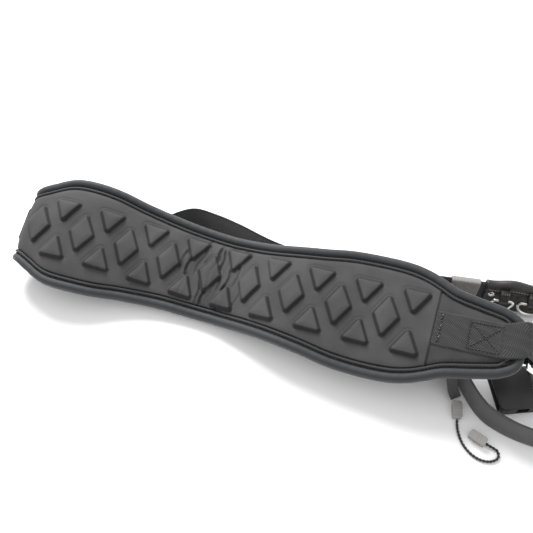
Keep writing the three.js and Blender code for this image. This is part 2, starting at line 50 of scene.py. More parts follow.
# %% [markdown]
# Every soft piece follows a few smooth runs, so a few small tools come first: a cubic through
# given stations, an evenly spaced smooth curve, and a way from belt millimetres to metres.
# %% Smooth runs
def smooth(xs, ys, x):
    """Cubic interpolation with slopes taken from the neighbouring stations."""
    xs = np.array(xs, float)
    ys = np.array(ys, float)
    last = len(xs) - 1
    low = np.maximum(np.arange(last + 1) - 1, 0)
    high = np.minimum(np.arange(last + 1) + 1, last)
    slope = (ys[high] - ys[low]) / (xs[high] - xs[low])
    x = np.asarray(x, float)
    i = np.clip(np.searchsorted(xs, x, side="right") - 1, 0, last - 1)
    h = xs[i + 1] - xs[i]
    t = (x - xs[i]) / h
    inside = ((2 * t**3 - 3 * t**2 + 1) * ys[i] + (t**3 - 2 * t**2 + t) * h * slope[i]
              + (3 * t**2 - 2 * t**3) * ys[i + 1] + (t**3 - t**2) * h * slope[i + 1])
    before = ys[0] + slope[0] * (x - xs[0])
    after = ys[-1] + slope[-1] * (x - xs[-1])
    return np.where(x <= xs[0], before, np.where(x >= xs[-1], after, inside))


def smoothstep(x, low, high):
    t = np.clip((np.asarray(x, float) - low) / (high - low), 0, 1)
    return t * t * (3 - 2 * t)


def length_along(points):
    """How far along a row of points each of them is."""
    return np.concatenate([[0], np.cumsum(np.linalg.norm(np.diff(points, axis=0), axis=1))])


def curve(points, steps, closed=False):
    """Evenly spaced points on a centripetal curve through the given ones."""
    pts = np.array(points, float)
    count = len(pts)
    fine = []
    for i in range(count if closed else count - 1):
        p1 = pts[i]
        p2 = pts[(i + 1) % count]
        p0 = pts[i - 1] if closed or i > 0 else 2 * p1 - p2
        p3 = pts[(i + 2) % count] if closed or i + 2 < count else 2 * p2 - p1
        d0, d1, d2 = (max(np.linalg.norm(b - a), 1e-6) ** 0.5
                      for a, b in ((p0, p1), (p1, p2), (p2, p3)))
        m1 = d1 * ((p1 - p0) / d0 - (p2 - p0) / (d0 + d1) + (p2 - p1) / d1)
        m2 = d1 * ((p2 - p1) / d1 - (p3 - p1) / (d1 + d2) + (p3 - p2) / d2)
        t = np.linspace(0, 1, 24, endpoint=False)[:, None]
        fine.append((2 * t**3 - 3 * t**2 + 1) * p1 + (t**3 - 2 * t**2 + t) * m1
                    + (3 * t**2 - 2 * t**3) * p2 + (t**3 - t**2) * m2)
    line = np.vstack(fine + [pts[:1] if closed else pts[-1:]])
    length = length_along(line)
    at = np.linspace(0, length[-1], steps + 1)
    even = np.stack([np.interp(at, length, line[:, k]) for k in range(3)], axis=1)
    return even[:-1] if closed else even


def unit(v):
    return v / np.maximum(np.linalg.norm(v, axis=-1, keepdims=True), 1e-9)


def metres(points):
    return (np.asarray(points, float) + BELT_SHIFT) * MM


# %% [markdown]
# The pad is one foam board that dips in its middle and folds under at its left end. Its face is
# described by how far along it (s), how far across (v) and how far out (t) a point is, so the
# panel, the binding, the tabs and every stitch can share the same bent board.
# %% The pad's bent board
HALF_LENGTH = 345
TILT = math.radians(17)
FOLD_START = -240
FOLD_RADIUS = 19
FOLD_ANGLE = math.radians(175)
BINDING_WIDTH = 10
WIDTH_AT = [0, 60, 115, 150, 185, 215, 235, 250, 268, 300, 325, 338, 345]
HALF_WIDTH = [55, 57, 63, 68.5, 70, 68.5, 64, 58, 50, 43, 37, 29, 18]
RUN_AT = [-270, -180, -90, 0, 90, 180, 270, 360]
FACE_HEIGHT = [59, 59, 37, 32, 55, 60, 71, 81]
FACE_SIDEWAYS = [-8, -2, 9, 9, -1, -1, -3, -1]
LEFT_TAPER = 20


def run_direction(s):
    dz = smooth(RUN_AT, FACE_HEIGHT, s + 0.5) - smooth(RUN_AT, FACE_HEIGHT, s - 0.5)
    dy = smooth(RUN_AT, FACE_SIDEWAYS, s + 0.5) - smooth(RUN_AT, FACE_SIDEWAYS, s - 0.5)
    return np.stack([np.sqrt(1 - dy**2 - dz**2), dy, dz], axis=-1)


RUN_S = np.arange(FOLD_START, HALF_LENGTH + 61.0)
RUN_X = np.concatenate([[0], np.cumsum(run_direction(RUN_S[:-1] + 0.5)[:, 0])])
RUN_X = RUN_X - np.interp(0, RUN_S, RUN_X)


def pad_frame(s):
    """Centre line, sideways and outward directions of the face at each s."""
    s = np.atleast_1d(np.asarray(s, float))
    at = np.maximum(s, FOLD_START)
    along = unit(run_direction(at))
    centre = np.stack([np.interp(at, RUN_S, RUN_X), smooth(RUN_AT, FACE_SIDEWAYS, at),
                       smooth(RUN_AT, FACE_HEIGHT, at)], axis=-1)
    tilted = np.array([0, -math.sin(TILT), math.cos(TILT)])
    side = unit(np.cross(tilted, along))
    out = unit(np.cross(along, side))
    past = np.maximum(FOLD_START - s, 0)
    turned = np.minimum(past / FOLD_RADIUS, FOLD_ANGLE)[:, None]
    straight = past[:, None] - turned * FOLD_RADIUS
    new_out = out * np.cos(turned) - along * np.sin(turned)
    new_left = -along * np.cos(turned) - out * np.sin(turned)
    centre = centre + FOLD_RADIUS * (new_out - out) + new_left * straight
    return centre, side, new_out


def pad_points(s, v, t):
    """Points of the pad, in belt millimetres, for matching arrays of s, v and t."""
    s, v, t = np.broadcast_arrays(*(np.asarray(k, float) for k in (s, v, t)))
    centre, side, out = pad_frame(s.ravel())
    flat = centre + side * v.ravel()[:, None] + out * t.ravel()[:, None]
    return flat.reshape(s.shape + (3,))


def half_width(s):
    """Half the pad's width; the left lobe tapers a little sooner, where it turns under."""
    far = np.abs(s)
    sooner = LEFT_TAPER * smoothstep(far, 178, 232) * (1 - smoothstep(far, 262, 335))
    return smooth(WIDTH_AT, HALF_WIDTH, far + np.where(s < 0, sooner, 0))


# %% [markdown]
# A catalogue picture looks down on the belt from the front, a little from the right, with a
# moderate lens so that the near end isn't stretched. The camera is placed by its angle, height
# and distance from a point near the middle of the belt.
# %% Camera
VIEW_AZIMUTH = math.radians(18.67)
VIEW_ELEVATION = math.radians(54)
VIEW_DISTANCE = 826.7
VIEW_TARGET = np.array([45.9, 34.4, 43])
back = np.array([math.sin(VIEW_AZIMUTH) * math.cos(VIEW_ELEVATION),
                 -math.cos(VIEW_AZIMUTH) * math.cos(VIEW_ELEVATION),
                 math.sin(VIEW_ELEVATION)])
camera_data = bpy.data.cameras.new("camera")
camera_data.lens = 47.23
camera_data.sensor_width = 36
camera = bpy.data.objects.new("camera", camera_data)
bpy.context.collection.objects.link(camera)
camera.location = metres(VIEW_TARGET + VIEW_DISTANCE * back)
camera.rotation_euler = Vector(back).to_track_quat("Z", "Y").to_euler()
bpy.context.scene.camera = camera


# %% [markdown]
# A dark belt needs a white sweep and one broad soft light from behind, above and the left, so the
# near side of every moulded shape falls into shade. An even white sky fills the rest. A disc lamp
# is soft because it is wide for its distance, and the floor runs far past the view.
# %% Soft studio light
def soft_light(name, location, target, size, watts):
    data = bpy.data.lights.new(name, "AREA")
    data.shape = "DISK"
    data.size = size
    data.energy = watts
    lamp = bpy.data.objects.new(name, data)
    bpy.context.collection.objects.link(lamp)
    lamp.location = location
    lamp.rotation_euler = (Vector(location) - Vector(target)).to_track_quat("Z", "Y").to_euler()


FLOOR_SIZE = 6.0


def pale_floor():
    finish = bpy.data.materials.new("pale_sweep")
    finish.use_nodes = True
    shader = finish.node_tree.nodes["Principled BSDF"]
    shader.inputs["Base Color"].default_value = (0.93, 0.93, 0.93, 1)
    shader.inputs["Roughness"].default_value = 0.9
    shader.inputs["Specular IOR Level"].default_value = 0.1
    mesh = bpy.data.meshes.new("floor")
    half = FLOOR_SIZE / 2
    mesh.from_pydata([(-half, -half, 0), (half, -half, 0), (half, half, 0), (-half, half, 0)],
                     [], [(0, 1, 2, 3)])
    mesh.materials.append(finish)
    floor = bpy.data.objects.new("floor", mesh)
    bpy.context.collection.objects.link(floor)


pale_floor()
bpy.context.scene.view_settings.view_transform = "Standard"
soft_light("key_light", (-0.85, 0.9, 1.15), (-0.2, 0, 0.03), 0.9, 44)
world = bpy.data.worlds.new("studio")
bpy.context.scene.world = world
world.use_nodes = True
world.node_tree.nodes["Background"].inputs[0].default_value = (1, 1, 1, 1)
world.node_tree.nodes["Background"].inputs[1].default_value = 0.98


# %% [markdown]
# A finish is a small tree of nodes: a base colour broken up by a little noise, a roughness, and a
# fine bump. One function lays that tree, and each material says only what is its own.
# %% Material helper
class Finish:
    """A principled material with short helpers for textures and bumps."""

    def __init__(self, name, color, roughness, metallic=0.0, sheen=0.0):
        self.material = bpy.data.materials.new(name)
        self.material.use_nodes = True
        self.tree = self.material.node_tree
        self.shader = self.tree.nodes["Principled BSDF"]
        self.shader.inputs["Base Color"].default_value = (*color, 1)
        self.shader.inputs["Roughness"].default_value = roughness
        self.shader.inputs["Metallic"].default_value = metallic
        self.shader.inputs["Sheen Weight"].default_value = sheen
        self.shader.inputs["Sheen Roughness"].default_value = 0.4
        self.color = color
        self.normal = None

    def node(self, kind, **values):
        made = self.tree.nodes.new(kind)
        for key, value in values.items():
            setattr(made, key, value)
        return made

    def link(self, source, target):
        self.tree.links.new(source, target)

    def position(self):
        return self.node("ShaderNodeTexCoord").outputs["Object"]

    def noise(self, scale, detail=3):
        texture = self.node("ShaderNodeTexNoise")
        texture.inputs["Scale"].default_value = scale
        texture.inputs["Detail"].default_value = detail
        self.link(self.position(), texture.inputs["Vector"])
        return texture.outputs["Fac"]

    def math(self, operation, a, b=None):
        made = self.node("ShaderNodeMath", operation=operation)
        for socket, value in zip(made.inputs, (a, b)):
            if value is None:
                continue
            if isinstance(value, (int, float)):
                socket.default_value = value
            else:
                self.link(value, socket)
        return made.outputs[0]

    def tint(self, fac, darker, lighter):
        """Mixes the base colour between a darker and a lighter one."""
        mix = self.node("ShaderNodeMix", data_type="RGBA")
        mix.inputs["A"].default_value = (*[c * darker for c in self.color], 1)
        mix.inputs["B"].default_value = (*[c * lighter for c in self.color], 1)
        self.link(fac, mix.inputs["Factor"])
        self.link(mix.outputs["Result"], self.shader.inputs["Base Color"])

    def bump(self, height, distance, strength=1.0):
        made = self.node("ShaderNodeBump")
        made.inputs["Distance"].default_value = distance
        made.inputs["Strength"].default_value = strength
        self.link(height, made.inputs["Height"])
        if self.normal:
            self.link(self.normal, made.inputs["Normal"])
        self.normal = made.outputs["Normal"]
        self.link(self.normal, self.shader.inputs["Normal"])

    def weave(self, pitch_along, pitch_across, slant=0.0):
        """Threads along and across a strip, from its own layout in metres."""
        layout = self.node("ShaderNodeUVMap", uv_map="strip")
        parts = self.node("ShaderNodeSeparateXYZ")
        self.link(layout.outputs["UV"], parts.inputs[0])
        slid = self.math("MULTIPLY", parts.outputs["Y"], slant)
        along = self.math("ADD", parts.outputs["X"], slid)
        u = self.math("SINE", self.math("MULTIPLY", along, 2 * math.pi / pitch_along))
        v = self.math("SINE", self.math("MULTIPLY", parts.outputs["Y"],
                                        2 * math.pi / pitch_across))
        crossed = self.math("MULTIPLY", u, v)
        return self.math("MULTIPLY_ADD", crossed, 0.5)


# %% [markdown]
# The face is a brushed polyester laminated to foam: warm dark grey, dull, with a fine tooth. The
# rolled edge is a smoother, bluer stretch fabric. Both are woven too finely to model thread by
# thread at this distance, so the tooth is a bump and the colour drifts by a few per cent.
# %% Fabric finishes
def face_fabric():
    f = Finish("face_fabric", (0.036, 0.0346, 0.0352), 0.84, sheen=0.08)
    # The stored attribute darkens the colour: painted shade on steep walls and in grooves, and the
    # darker flat end panels.
    painted_shade_and_dark_ends = f.node("ShaderNodeAttribute", attribute_name="painted_shade_and_dark_ends").outputs["Fac"]
    speckle = f.math("MULTIPLY_ADD", f.noise(1900, 2), 0.5)
    f.link(f.noise(26, 4), speckle.node.inputs[2])
    f.tint(f.math("SUBTRACT", speckle, painted_shade_and_dark_ends), 0.2, 1.55)
    f.bump(f.noise(1500, 3), 0.00022, 0.6)
    f.bump(f.noise(420, 2), 0.0003, 0.25)
    return f.material


def binding_fabric():
    f = Finish("binding_fabric", (0.018, 0.0205, 0.0225), 0.7, sheen=0.2)
    f.tint(f.noise(35, 3), 0.82, 1.15)
    f.bump(f.noise(1800, 2), 0.00016, 0.45)
    f.bump(f.noise(140, 2), 0.0006, 0.2)
    return f.material


def lining_mesh():
    f = Finish("lining_mesh", (0.028, 0.028, 0.031), 0.9, sheen=0.2)
    holes = f.node("ShaderNodeTexVoronoi")
    holes.inputs["Scale"].default_value = 420
    f.link(f.position(), holes.inputs["Vector"])
    f.tint(holes.outputs["Distance"], 0.5, 1.5)
    f.bump(holes.outputs["Distance"], 0.0007, 0.8)
    return f.material


def webbing(name="webbing", color=(0.030, 0.0285, 0.029), pitch=0.0017, slant=0.5, depth=0.0003):
    f = Finish(name, color, 0.62, sheen=0.3)
    woven = f.weave(pitch, pitch * 1.25, slant)
    f.tint(woven, 0.55, 1.5)
    f.bump(woven, depth, 0.9)
    f.bump(f.noise(900, 2), 0.0001, 0.4)
    return f.material


def elastic_band():
    f = Finish("elastic_band", (0.27, 0.26, 0.255), 0.85, sheen=0.05)
    woven = f.weave(0.0013, 0.0009)
    f.tint(woven, 0.75, 1.25)
    f.bump(woven, 0.00015, 0.6)
    return f.material


def thread(name, color):
    f = Finish(name, color, 0.55, sheen=0.2)
    f.tint(f.noise(700, 2), 0.75, 1.3)
    f.bump(f.noise(2600, 1), 0.0001, 0.5)
    return f.material


FACE = face_fabric()
BINDING = binding_fabric()
LINING = lining_mesh()
WEBBING = webbing(depth=0.0004)
TAB_WEBBING = webbing("tab_webbing", (0.0185, 0.018, 0.019), 0.0021, 0.35, 0.0005)
ELASTIC = elastic_band()
DARK_THREAD = thread("dark_thread", (0.012, 0.012, 0.013))
PALE_THREAD = thread("pale_thread", (0.30, 0.28, 0.26))


# %% [markdown]
# Leather is a coated hide: broad soft wrinkles, tight pores, and a shine that breaks up. Nickel
# plate is bright but never perfect, so its roughness stays low and only its bump wanders.
# Moulded acetal has a spark-eroded grain; the softer grey ends have a coarser one.
# %% Leather, plate and plastic finishes
def hide():
    f = Finish("hide", (0.017, 0.015, 0.015), 0.42)
    f.tint(f.noise(60, 4), 0.6, 1.6)
    pores = f.node("ShaderNodeTexVoronoi")
    pores.inputs["Scale"].default_value = 780
    f.link(f.position(), pores.inputs["Vector"])
    f.bump(pores.outputs["Distance"], 0.00035, 0.55)
    f.bump(f.noise(120, 3), 0.0008, 0.35)
    return f.material


def nickel():
    f = Finish("nickel", (0.78, 0.76, 0.73), 0.16, metallic=1.0)
    f.tint(f.noise(90, 3), 0.9, 1.05)
    f.bump(f.noise(260, 2), 0.00008, 0.35)
    return f.material


def moulded(name, color, roughness, grain):
    f = Finish(name, color, roughness)
    f.tint(f.noise(45, 3), 0.85, 1.2)
    f.bump(f.noise(grain, 2), 0.00012, 0.5)
    return f.material


def twisted_cord():
    f = Finish("twisted_cord", (0.022, 0.021, 0.021), 0.7, sheen=0.2)
    f.tint(f.noise(500, 2), 0.7, 1.6)
    f.bump(f.noise(1900, 2), 0.0002, 0.6)
    return f.material


HIDE = hide()
NICKEL = nickel()
ACETAL = moulded("acetal", (0.011, 0.011, 0.012), 0.42, 2200)
GREY_MOULDING = moulded("grey_moulding", (0.30, 0.295, 0.285), 0.6, 1500)
CORD = twisted_cord()


# %% [markdown]
# Most soft pieces here are rings of points joined into a skin. Building the skin straight from
# arrays keeps every seam where it was planned, which a remesh would smear away.
# %% Skins from rings of points
def place(name, mesh, material, body, slot, nodes=()):
    """Makes a smooth object of a mesh, hangs it on its body and hides the solids it stands for."""
    mesh.polygons.foreach_set("use_smooth", [True] * len(mesh.polygons))
    mesh.materials.append(material)
    piece = bpy.data.objects.new(name, mesh)
    bpy.context.collection.objects.link(piece)
    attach(piece, body)
    if nodes:
        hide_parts(*nodes)
    return piece


def new_piece(name, verts, faces, material, body, slot, nodes=(), layout=None):
    mesh = bpy.data.meshes.new(name)
    mesh.from_pydata([tuple(p) for p in verts], [], outwards(verts, faces))
    mesh.validate()
    if layout is not None:
        layer = mesh.uv_layers.new(name="strip")
        spots = np.empty(len(mesh.loops), int)
        mesh.loops.foreach_get("vertex_index", spots)
        layer.data.foreach_set("uv", np.asarray(layout, float)[spots].ravel())
    return place(name, mesh, material, body, slot, nodes)


def ring_faces(count, around, closed):
    """Quads of a skin through count rings, capped at its ends unless it closes."""
    faces = []
    for i in range(count if closed else count - 1):
        n = (i + 1) % count
        for j in range(around):
            k = (j + 1) % around
            faces.append((i * around + j, n * around + j, n * around + k, i * around + k))
    if not closed:
        faces.append(tuple(range(around)))
        faces.append(tuple((count - 1) * around + j for j in reversed(range(around))))
    return faces


def outwards(verts, faces):
    """Flips the faces if the skin is inside out, from the volume that it closes."""
    fans = np.array([(f[0], f[i], f[i + 1]) for f in faces for i in range(1, len(f) - 1)])
    a, b, c = (verts[fans[:, k]] for k in range(3))
    return faces if np.sum(a * np.cross(b, c)) > 0 else [tuple(reversed(f)) for f in faces]


def skin(name, rings, closed, *finish):
    """A piece from rings of points in belt millimetres, shaped (rings, points, 3)."""
    faces = ring_faces(*rings.shape[:2], closed)
    return new_piece(name, metres(rings.reshape(-1, 3)), faces, *finish)


def flow(points, closed=False):
    """Unit direction along a row of points."""
    pts = np.asarray(points, float)
    if closed:
        return unit(np.roll(pts, -1, 0) - np.roll(pts, 1, 0))
    return unit(np.gradient(pts, axis=0))


def frames_along(points, across, closed=False):
    along = flow(points, closed)
    across = np.broadcast_to(np.asarray(across, float), along.shape)
    across = unit(across - along * np.sum(across * along, axis=1, keepdims=True))
    return along, across, unit(np.cross(along, across))


# %% [markdown]
# Webbing is a flat woven tape with slightly thicker, rounded selvedges. The tape is a strip of
# rings with its layout written in metres along and across, so the same weave runs true on it
# however the strap bends.
# %% Webbing strips
def tape_section(width, thick, columns):
    """Points round a tape's section: across, out, in millimetres."""
    a = np.linspace(-1, 1, columns)
    edge = np.sqrt(np.clip(1 - np.abs(a) ** 14, 0.12, 1))
    selvedge = 1 + 0.10 * np.exp(-((np.abs(a) - 0.93) / 0.05) ** 2)
    top = np.stack([a * width / 2, thick / 2 * edge * selvedge], axis=1)
    bottom = top[::-1] * [1, -1]
    return np.vstack([top, bottom])


def tape(name, points, across, width, thick, material, body, slot, nodes=(), columns=17,
         closed=False, ripple=None):
    points = np.asarray(points, float)
    along, side, normal = frames_along(points, across, closed)
    section = tape_section(width, thick, columns)
    count = len(points)
    travelled = length_along(points)
    a = np.broadcast_to(section[:, 0], (count, len(section)))
    b = np.broadcast_to(section[:, 1], (count, len(section))).copy()
    if ripple is not None:
        b = b + np.sign(b) * ripple(travelled[:, None], a)
    verts = points[:, None] + side[:, None] * a[..., None] + normal[:, None] * b[..., None]
    layout = np.stack([np.broadcast_to(travelled[:, None], a.shape), a], axis=-1) * MM
    skin(name, verts, closed, material, body, slot, nodes, layout.reshape(-1, 2))
    print(name, f"{travelled[-1]:.0f} mm of {width} mm tape")


# %% [markdown]
# A lockstitch shows as a row of short plump threads, each dipping into the cloth at its ends.
# All the stitches of one seam become one mesh of small bent capsules.
# %% Stitches
STITCH_SIDES = 6
STITCH_PROFILE = [(0.0, 0.35, -0.6), (0.12, 0.85, 0.1), (0.35, 1.0, 0.85), (0.65, 1.0, 0.85),
                  (0.88, 0.85, 0.1), (1.0, 0.35, -0.6)]   # how far along, how fat, how high


def stitches(name, starts, ends, normals, material, body, slot, radius=0.35, rise=0.35):
    """One bent thread from each start to each end, in belt millimetres."""
    starts, ends, normals = (np.asarray(k, float)[:, None] for k in (starts, ends, normals))
    t, fat, lift = np.array(STITCH_PROFILE).T[:, :, None]
    side = unit(np.cross(unit(ends - starts), normals))
    middle = starts + (ends - starts) * t + normals * rise * lift
    angle = np.linspace(0, 2 * math.pi, STITCH_SIDES, endpoint=False)[:, None]
    spoke = side[:, None] * np.cos(angle) + normals[:, None] * np.sin(angle)
    verts = metres((middle[:, :, None] + spoke * radius * fat[:, None]).reshape(-1, 3))
    one = ring_faces(len(STITCH_PROFILE), STITCH_SIDES, False)
    size = len(STITCH_PROFILE) * STITCH_SIDES
    faces = [tuple(i * size + k for k in f) for i in range(len(starts)) for f in one]
    new_piece(name, verts, faces, material, body, slot)
    print(name, len(starts), "stitches")


def seam_on_pad(name, path, t, pitch, gap, material, radius=0.35):
    """Stitches along a row of (s, v) on the pad's face, at height t."""
    path = np.asarray(path, float)
    travelled = length_along(path)
    at = np.arange(0, travelled[-1] - pitch, pitch)
    s0, v0, s1, v1 = (np.interp(at + d, travelled, path[:, k])
                      for d in (gap / 2, pitch - gap / 2) for k in (0, 1))
    normals = pad_frame((s0 + s1) / 2)[2]
    stitches(name, pad_points(s0, v0, t), pad_points(s1, v1, t), normals, material, "root",
             "face_fabric", radius)


# %% [markdown]
# The front panel is foam and fabric pressed in a heated mould, so diamonds and triangles stand up
# from it with soft shoulders, and it is stitched in all round. It is modelled as one fine grid
# whose height is worked out from the distance to each moulded shape. That keeps every shoulder
# even, which pushing vertices about by hand would not.
# %% Moulded relief
PATTERN_PITCH = 54
DIAMOND_START = -16 - 4 * PATTERN_PITCH
TRIANGLE_ROW = 24.8
BOSS_HEIGHT = 5.0
PANEL_END = 251.5


def distance_to_shape(x, y, corners):
    """Signed distance to a convex outline, negative inside; corners run anticlockwise."""
    corners = np.array(corners, float)
    inside = np.full(x.shape, -1e9)
    outside = np.full(x.shape, 1e9)
    for a, b in zip(corners, np.roll(corners, -1, 0)):
        edge = b - a
        length = np.linalg.norm(edge)
        normal = np.array([edge[1], -edge[0]]) / length
        inside = np.maximum(inside, (x - a[0]) * normal[0] + (y - a[1]) * normal[1])
        t = np.clip(((x - a[0]) * edge[0] + (y - a[1]) * edge[1]) / length**2, 0, 1)
        outside = np.minimum(outside, np.hypot(x - a[0] - t * edge[0], y - a[1] - t * edge[1]))
    return np.where(inside > 0, outside, inside)


CREASE_DEPTH = 1.35
DIAMOND = [(-11.2, 0), (0, -19.2), (11.2, 0), (-1, 19.2)]
TRIANGLE = [(-11.2, 8.6), (0, -11.0), (11.2, 8.6)]
ROUNDING = 3.6


def relief(s, v):
    """Height of the moulding above the flat face, in millimetres."""
    height = np.zeros(s.shape)
    shapes = []
    for k in range(9):
        middle = DIAMOND_START + k * PATTERN_PITCH
        shapes.append((middle, 0, DIAMOND))
        shapes.append((middle + PATTERN_PITCH / 2, TRIANGLE_ROW, TRIANGLE[::-1]))
        shapes.append((middle + PATTERN_PITCH / 2, -TRIANGLE_ROW,
                       [(x, -y) for x, y in TRIANGLE]))
    for middle, row, corners in shapes:
        near = (np.abs(s - middle) < 22) & (np.abs(v - row) < 32)
        x, y = s[near] - middle, v[near] - row
        area = sum(a[0] * b[1] - b[0] * a[1] for a, b in zip(corners, corners[1:] + corners[:1]))
        d = distance_to_shape(x, y, corners if area > 0 else corners[::-1]) - ROUNDING
        wall = smoothstep(-d, -1.6, 3.0)
        crown = 0.86 + 0.14 * smoothstep(-d, 1.5, 8)
        moat = -0.5 * np.exp(-((d - 2.0) / 1.1) ** 2)
        height[near] = np.maximum(height[near] + moat, BOSS_HEIGHT * wall * crown + moat)
    return height


# Creases where the belt has been bent: place along, slant, depth, and how far across they run.
CREASES = [(-54, 0.10, 0.9, -8, 34), (-45, -0.06, 1.3, -38, 30), (-34, 0.14, 0.8, -5, 44),
           (-25, -0.10, 1.2, -44, 12), (-14, 0.05, 1.5, -40, 38), (-3, -0.12, 0.9, -20, 40),
           (8, 0.08, 1.2, -44, 20), (19, -0.05, 0.8, -10, 42), (30, 0.10, 0.6, -40, 4)]


def crease_depth(s, v):
    depth = np.zeros(s.shape)
    for place, slant, deep, low, high in CREASES:
        wander = 1.2 * np.sin(v * 0.21 + place)
        off = s - place - slant * v - wander
        reach = smoothstep(v, low - 6, low + 6) * (1 - smoothstep(v, high - 6, high + 6))
        sides = sum(np.exp(-((off + side * 3.4) / 2.2) ** 2) for side in (-1, 1))
        depth += reach * deep * (np.exp(-(off / 1.3) ** 2) - 0.45 * sides)
    return CREASE_DEPTH * depth


def panel_edges(s, v):
    """The sewn border: a groove, a raised tape, a second groove, then the open panel."""
    reach = half_width(s) - BINDING_WIDTH
    e = reach - np.abs(v)
    groove = -2.3 * np.exp(-((e - 0.8) / 0.7) ** 2) - 2.2 * np.exp(-((e - 4.4) / 0.75) ** 2)
    cord = 0.3 * np.exp(-((e - 2.6) / 0.9) ** 2)
    arch = 3.4 * (1 - (v / reach) ** 2) * smoothstep(e, 3.0, 10)
    return groove + cord + arch


def panel_end(s, v):
    """The moulded panel stops at a stitched step, its corners rounded; a flat end panel follows."""
    corner = 0.0022 * np.abs(v) ** 2.2
    over = np.abs(s) - (PANEL_END - 0.01 * corner)
    step = -1.3 * smoothstep(over, -0.6, 0.8)
    return step - 0.8 * np.exp(-((over - 0.6) / 0.7) ** 2)


def face_height(s, v):
    inner = half_width(s) - BINDING_WIDTH
    e = inner - np.abs(v)
    open_panel = smoothstep(e, 3.0, 6.0)
    lumps = 0.22 * np.sin(s * 0.11 + 1.0) * np.sin(v * 0.17) + 0.12 * np.sin(s * 0.37 + v * 0.23)
    bosses = relief(s, v)
    creased = crease_depth(s, v) * open_panel * (1 - 0.8 * smoothstep(bosses, 0.4, 2.0))
    return bosses + panel_edges(s, v) + (panel_end(s, v) + lumps) * open_panel - creased


# %% [markdown]
# The panel is laid out as rows across the belt. Points crowd over the sewn border, where the cloth
# turns sharply, and lie evenly in between. Each point also stores painted shade: its steep walls
# and grooves are darkened in the colour where shade falls, and the flat end panels are made darker
# too.
# %% Moulded front panel
FACE_STEP = 1.15
FACE_UNDERSIDE = -11.6
BORDER = np.array([-0.4, 0.2, 0.5, 0.8, 1.1, 1.5, 2.0, 2.6, 3.2, 3.7, 4.1, 4.4, 4.7, 5.1, 5.8,
                   6.8])


def face_grid(end, step, middle):
    """Rows along the belt: closely spaced over the sewn border, even in between."""
    stations = np.linspace(-end, end, int(2 * end / step) + 1)
    reach = half_width(stations)[:, None] - BINDING_WIDTH
    inner = reach - BORDER[-1]
    share = np.linspace(-1, 1, middle)[None, 1:-1]
    v = np.hstack([-(reach - BORDER), inner * share, (reach - BORDER)[:, ::-1]])
    return np.broadcast_to(stations[:, None], v.shape), v


def moulded_face():
    s, v = face_grid(HALF_LENGTH - BINDING_WIDTH + 1, FACE_STEP, 96)
    height = face_height(s, v)
    top = pad_points(s, v, height)
    under = pad_points(s[:, [-1, 0]], v[:, [-1, 0]], FACE_UNDERSIDE)
    piece = skin("pad_face", np.concatenate([top, under], axis=1), False, FACE, "root",
                 "face_fabric", ("front_panel", "foam_core"))
    slope = np.hypot(np.gradient(height, axis=0) / FACE_STEP,
                     np.gradient(height, axis=1) / np.gradient(v, axis=1))
    # Painted shade: steep walls and grooves are darkened in the colour where shade would fall; past
    # the moulded panel's end the flat end panels are darker as well.
    painted_shade_and_dark_ends = np.zeros((s.shape[0], s.shape[1] + 2))
    painted_shade_and_dark_ends[:, :-2] = 0.9 * smoothstep(slope, 0.35, 1.3) + 0.3 * smoothstep(-height, 0.3, 1.5)
    painted_shade_and_dark_ends[:, :-2] += 0.32 * smoothstep(np.abs(s), PANEL_END - 1, PANEL_END + 1)
    piece.data.attributes.new("painted_shade_and_dark_ends", "FLOAT", "POINT").data.foreach_set(
        "value", painted_shade_and_dark_ends.ravel())
    print("pad_face has", painted_shade_and_dark_ends.size, "points")
    return piece


pad_face = moulded_face()


# %% [markdown]
# Under the belt is a lining of spacer mesh, quilted in long channels so that air can pass.
# %% Quilted back
def quilt(s, v):
    channel = np.exp(-((((v + 12) % 24) - 12) / 1.6) ** 2)
    return -14.0 + 1.1 * channel + 0.25 * np.sin(s * 0.5) * (1 - channel)


def quilted_back():
    stations = np.linspace(-326, 326, 260)
    share = np.linspace(-1, 1, 61)
    reach = half_width(stations) - BINDING_WIDTH - 1
    s = np.broadcast_to(stations[:, None], (len(stations), len(share)))
    v = reach[:, None] * share[None, :]
    lower = pad_points(s, v, quilt(s, v))
    upper = pad_points(s[:, [-1, 0]], v[:, [-1, 0]], -12.1)
    return skin("pad_back", np.concatenate([lower, upper], axis=1), False, LINING, "root",
                "lining", ("back_panel",))


quilted_back()


# %% [markdown]
# The edge is a strip of stretch fabric rolled round the foam and sewn down beside the face, so it
# is fat and round outside and dives into a stitched groove inside. A section that pinches in at
# the seam is carried round the outline, puckered very slightly between stitches.
# %% Rolled edge
OUTLINE_LENGTH = 1560


def pad_outline(inset, step, side_end=325):
    """Points (s, v) all round the pad at an inset from its edge, with rounded tips."""
    edge = np.arange(-side_end, side_end + 0.1, step)
    upper = np.stack([edge, half_width(edge) - inset], axis=1)
    tip_v = np.array([24, 17.5, 9, 0, -9, -17.5, -24]) * (1 - (inset - 5) / 24)
    tip_s = np.array([338, 341, 341.6, 341.8, 341.6, 341, 338]) - (inset - 5)
    right = np.stack([tip_s, tip_v], axis=1)
    lower = upper[::-1] * [1, -1]
    left = right * [-1, -1]
    rough = np.vstack([upper, right, lower, left])
    rough3 = np.column_stack([rough, np.zeros(len(rough))])
    return curve(rough3, int(OUTLINE_LENGTH / step), closed=True)[:, :2]


ROLL_SECTION = [(-0.50, 0.20), (-0.44, 0.36), (-0.30, 0.47), (-0.08, 0.53), (0.16, 0.53),
                (0.36, 0.46), (0.48, 0.33), (0.53, 0.14), (0.53, -0.10), (0.48, -0.30),
                (0.36, -0.43), (0.16, -0.50), (-0.10, -0.51), (-0.32, -0.47), (-0.46, -0.38),
                (-0.50, -0.22), (-0.47, 0.0)]
BINDING_MIDDLE = -6.8
BINDING_HEIGHT = 15.0


